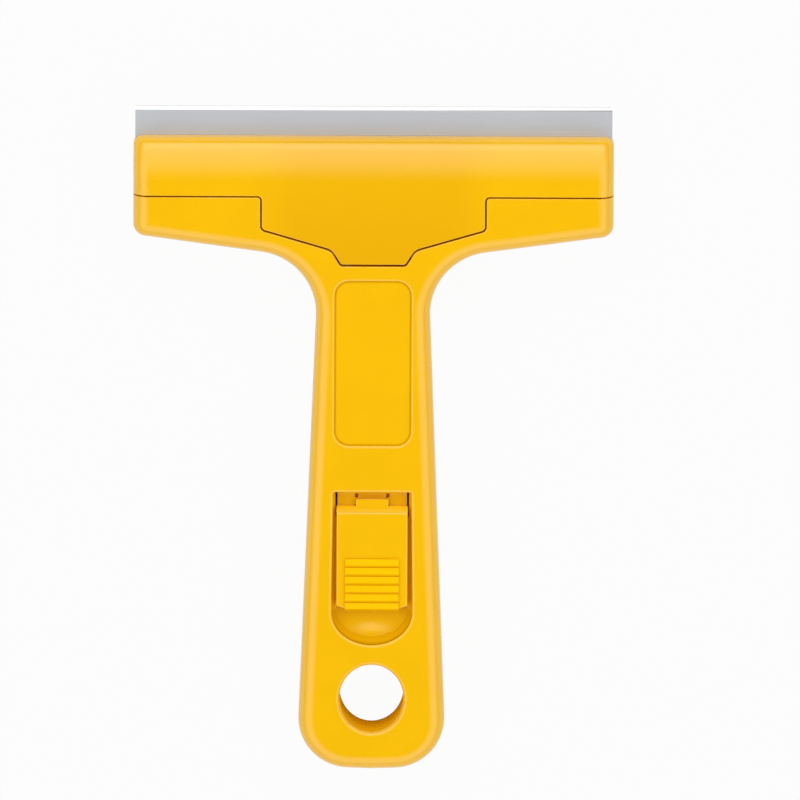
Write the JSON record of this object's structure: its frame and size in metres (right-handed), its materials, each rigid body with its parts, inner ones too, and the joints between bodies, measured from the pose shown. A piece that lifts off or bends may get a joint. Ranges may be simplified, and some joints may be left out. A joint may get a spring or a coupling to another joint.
{
  "type": "cleaning scraper",
  "caption": "T-shaped plastic hand scraper with a wide straight steel blade, clamped by a hinged lid that a thumb slider locks.",
  "frame": {"origin": "middle of the bounding box on the plane that the tool's back lies on", "axes": "+X across the head, +Y from the hanging end to the blade, +Z out of the face with the thumb slider"},
  "size_m": [0.1, 0.1404, 0.0125],
  "materials": {
    "yellow_plastic": "satin moulded ABS",
    "blade_steel": "ground, with a bright bevelled edge",
    "bright_steel": "zinc plated"
  },
  "bodies": {
    "handle": {"handle_shell": "yellow_plastic", "base_shell": "yellow_plastic", "blade": "blade_steel", "detent_spring": "bright_steel", "shell_screw_1": "bright_steel", "shell_screw_2": "bright_steel", "shell_screw_3": "bright_steel", "shell_screw_4": "bright_steel", "shell_screw_5": "bright_steel"},
    "slider": {"slide_button": "yellow_plastic", "cam_bar": "yellow_plastic", "cam_pin": "bright_steel", "button_screw": "bright_steel"},
    "lid": {"clamp_lid": "yellow_plastic"}
  },
  "joints": [
    {"name": "slider_slide", "type": "slide", "parent": "handle", "child": "slider", "axis": [0, -1, 0], "range_m": [0, 0.004], "deforming": ["detent_spring"]},
    {"name": "lid_hinge", "type": "hinge", "parent": "handle", "child": "lid", "pos_m": [0, 0.03995, 0.0103], "axis": [1, 0, 0], "range_deg": [0, 10]}
  ],
  "couplings": [
    {"joint": "lid_hinge", "follows": "slider_slide", "rad_per_m": 43.633}
  ]
}
